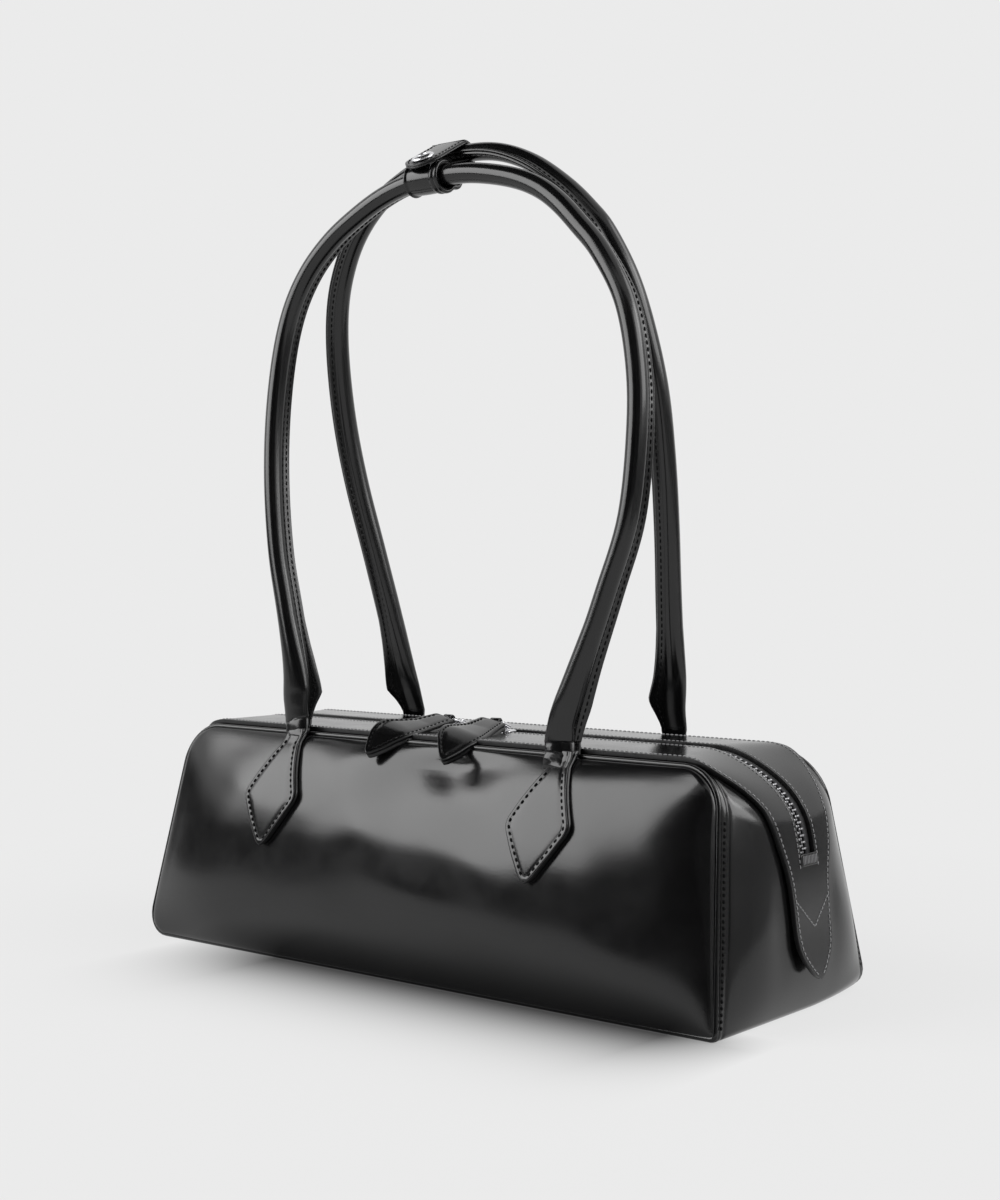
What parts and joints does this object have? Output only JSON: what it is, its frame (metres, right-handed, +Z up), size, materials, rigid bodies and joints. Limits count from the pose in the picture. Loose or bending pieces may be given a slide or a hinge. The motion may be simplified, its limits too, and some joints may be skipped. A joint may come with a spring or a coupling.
{
  "type": "shoulder bag",
  "caption": "Long shoulder bag in smooth leather with a zip that runs over both ends, two rolled handles and a snapped handle keeper.",
  "frame": {"origin": "on the ground under the middle of the base, at the bottom centre of the bounding box", "axes": "+X runs along the bag to its right end as seen from the front, -Y is the front, +Z is up through the handles"},
  "size_m": [0.3542, 0.1304, 0.3811],
  "materials": {
    "smooth_leather": "smooth and glossy, with a fine grain",
    "base_board": "plain stiffening board",
    "lining_cloth": "plain woven cloth",
    "zip_tape": "woven tape",
    "silver_metal": "bright plated metal",
    "cord_core": "twisted cord inside the rolled leather"
  },
  "bodies": {
    "bag": {"front_panel": "smooth_leather", "back_panel": "smooth_leather", "left_gusset": "smooth_leather", "right_gusset": "smooth_leather", "base_panel": "smooth_leather", "base_board": "base_board", "lining": "lining_cloth", "piping_front": "smooth_leather", "piping_back": "smooth_leather", "zip_strip": "smooth_leather", "slot_patch_left": "smooth_leather", "slot_patch_right": "smooth_leather", "zip_tape_front": "zip_tape", "zip_tape_back": "zip_tape", "zip_teeth_front": "silver_metal", "zip_teeth_back": "silver_metal", "tab_front_left": "smooth_leather", "tab_front_right": "smooth_leather", "tab_back_left": "smooth_leather", "tab_back_right": "smooth_leather"},
    "front_handle": {"handle_front": "smooth_leather", "handle_front_core": "cord_core", "keeper_sleeve": "smooth_leather", "keeper_strap": "smooth_leather", "snap_stud": "silver_metal"},
    "back_handle": {"handle_back": "smooth_leather", "handle_back_core": "cord_core"},
    "keeper": {"keeper_flap": "smooth_leather", "snap_cap": "silver_metal", "snap_socket": "silver_metal"},
    "left_slider": {"slider_left": "silver_metal"},
    "right_slider": {"slider_right": "silver_metal"},
    "left_ring": {"pull_ring_left": "silver_metal"},
    "right_ring": {"pull_ring_right": "silver_metal"},
    "left_pull": {"pull_left": "smooth_leather"},
    "right_pull": {"pull_right": "smooth_leather"}
  },
  "joints": [
    {"name": "front_handle_swing", "type": "hinge", "parent": "bag", "child": "front_handle", "pos_m": [0, -0.04235, 0.1105], "axis": [1, 0, 0], "range_deg": [0, 100], "deforming": ["keeper_strap"]},
    {"name": "back_handle_swing", "type": "hinge", "parent": "bag", "child": "back_handle", "pos_m": [0, 0.04235, 0.1105], "axis": [-1, 0, 0], "range_deg": [0, 100], "deforming": ["keeper_strap"]},
    {"name": "keeper_flap_open", "type": "hinge", "parent": "front_handle", "child": "keeper", "pos_m": [-0.009, -0.01328, 0.37958], "axis": [-1, 0, 0], "range_deg": [0, 150]},
    {"name": "left_slider_travel", "type": "slide", "parent": "bag", "child": "left_slider", "axis": [-1, 0, 0], "range_m": [0, 0.112], "deforming": ["pull_left"]},
    {"name": "right_slider_travel", "type": "slide", "parent": "bag", "child": "right_slider", "axis": [1, 0, 0], "range_m": [0, 0.112], "deforming": ["pull_right"]},
    {"name": "left_ring_swing", "type": "hinge", "parent": "left_slider", "child": "left_ring", "pos_m": [-0.013, 0, 0.10958], "axis": [-0.9848, 0.1736, 0], "range_deg": [0, 120]},
    {"name": "right_ring_swing", "type": "hinge", "parent": "right_slider", "child": "right_ring", "pos_m": [0.013, 0, 0.10958], "axis": [-0.9848, -0.1736, 0], "range_deg": [0, 120]},
    {"name": "left_pull_swing", "type": "hinge", "parent": "left_ring", "child": "left_pull", "pos_m": [-0.01432, -0.00749, 0.11206], "axis": [-0.9848, 0.1736, 0], "range_deg": [0, 35]},
    {"name": "right_pull_swing", "type": "hinge", "parent": "right_ring", "child": "right_pull", "pos_m": [0.01432, -0.00749, 0.11206], "axis": [-0.9848, -0.1736, 0], "range_deg": [0, 35]}
  ]
}
